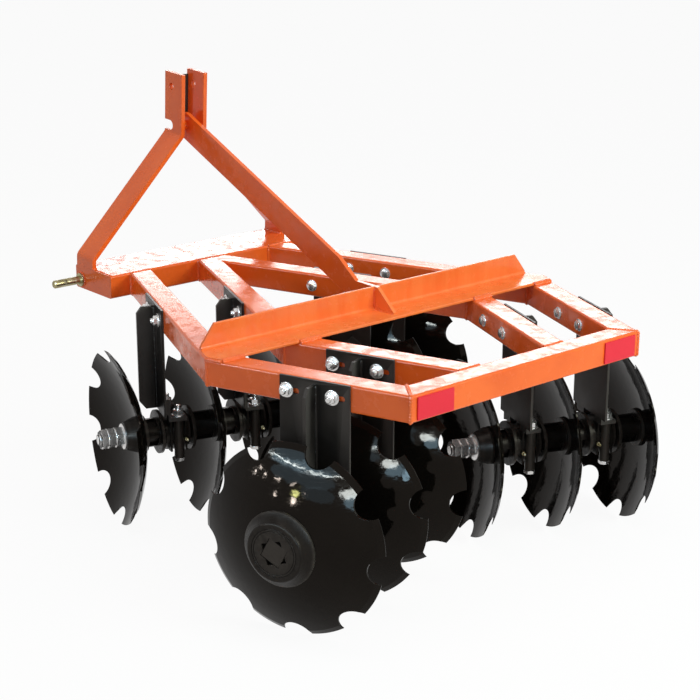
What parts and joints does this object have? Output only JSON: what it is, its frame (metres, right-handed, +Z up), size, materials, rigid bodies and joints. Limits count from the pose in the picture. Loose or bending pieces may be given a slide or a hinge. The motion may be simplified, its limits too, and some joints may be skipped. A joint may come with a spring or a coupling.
{
  "type": "disc harrow",
  "caption": "Mounted tandem disc harrow: gangs of notched discs turn in bearings hung under a welded tube frame with a hitch mast and brace.",
  "frame": {"origin": "middle of the bounding box, on the ground under the discs", "axes": "+X forward, toward the hitch; +Y left; +Z up"},
  "size_m": [1.4388, 1.2934, 1.0941],
  "materials": {
    "frame_paint": "gloss orange paint",
    "disc_paint": "gloss black paint on pressed steel",
    "hanger_paint": "satin black paint",
    "casting": "black painted casting",
    "yellow_zinc": "yellow zinc plate",
    "reflector": "red retroreflective sheet"
  },
  "bodies": {
    "frame": {"front_bar": "frame_paint", "rear_bar": "frame_paint", "left_outer_rear_rail": "frame_paint", "left_outer_front_rail": "frame_paint", "left_inner_rear_rail": "frame_paint", "left_inner_front_rail": "frame_paint", "right_outer_rear_rail": "frame_paint", "right_outer_front_rail": "frame_paint", "right_inner_rear_rail": "frame_paint", "right_inner_front_rail": "frame_paint", "cross_angle": "frame_paint", "mast_left": "frame_paint", "mast_right": "frame_paint", "brace": "frame_paint", "mast_strip": "hanger_paint", "lower_pins": "yellow_zinc", "reflectors": "reflector", "front_left_outer_hanger": "hanger_paint", "front_left_outer_bearing": "casting", "front_left_inner_hanger": "hanger_paint", "front_left_inner_bearing": "casting", "front_right_outer_hanger": "hanger_paint", "front_right_outer_bearing": "casting", "front_right_inner_hanger": "hanger_paint", "front_right_inner_bearing": "casting", "rear_left_outer_hanger": "hanger_paint", "rear_left_outer_bearing": "casting", "rear_left_inner_hanger": "hanger_paint", "rear_left_inner_bearing": "casting", "rear_right_outer_hanger": "hanger_paint", "rear_right_outer_bearing": "casting", "rear_right_inner_hanger": "hanger_paint", "rear_right_inner_bearing": "casting"},
    "front_left_gang": {"front_left_axle": "casting", "front_left_outer_disc": "disc_paint", "front_left_middle_disc": "disc_paint", "front_left_inner_disc": "disc_paint"},
    "front_right_gang": {"front_right_axle": "casting", "front_right_outer_disc": "disc_paint", "front_right_middle_disc": "disc_paint", "front_right_inner_disc": "disc_paint"},
    "rear_left_gang": {"rear_left_axle": "casting", "rear_left_outer_disc": "disc_paint", "rear_left_middle_disc": "disc_paint", "rear_left_inner_disc": "disc_paint"},
    "rear_right_gang": {"rear_right_axle": "casting", "rear_right_outer_disc": "disc_paint", "rear_right_middle_disc": "disc_paint", "rear_right_inner_disc": "disc_paint"}
  },
  "joints": [
    {"name": "front_left_gang_turn", "type": "hinge", "parent": "frame", "child": "front_left_gang", "pos_m": [0.28969, 0.5042, 0.2286], "axis": [-0.2773, -0.9608, 0], "continuous": true},
    {"name": "front_right_gang_turn", "type": "hinge", "parent": "frame", "child": "front_right_gang", "pos_m": [0.28969, -0.5042, 0.2286], "axis": [-0.2773, 0.9608, 0], "continuous": true},
    {"name": "rear_left_gang_turn", "type": "hinge", "parent": "frame", "child": "rear_left_gang", "pos_m": [-0.50611, 0.537, 0.2286], "axis": [0.3665, -0.9304, 0], "continuous": true},
    {"name": "rear_right_gang_turn", "type": "hinge", "parent": "frame", "child": "rear_right_gang", "pos_m": [-0.50611, -0.537, 0.2286], "axis": [0.3665, 0.9304, 0], "continuous": true}
  ]
}
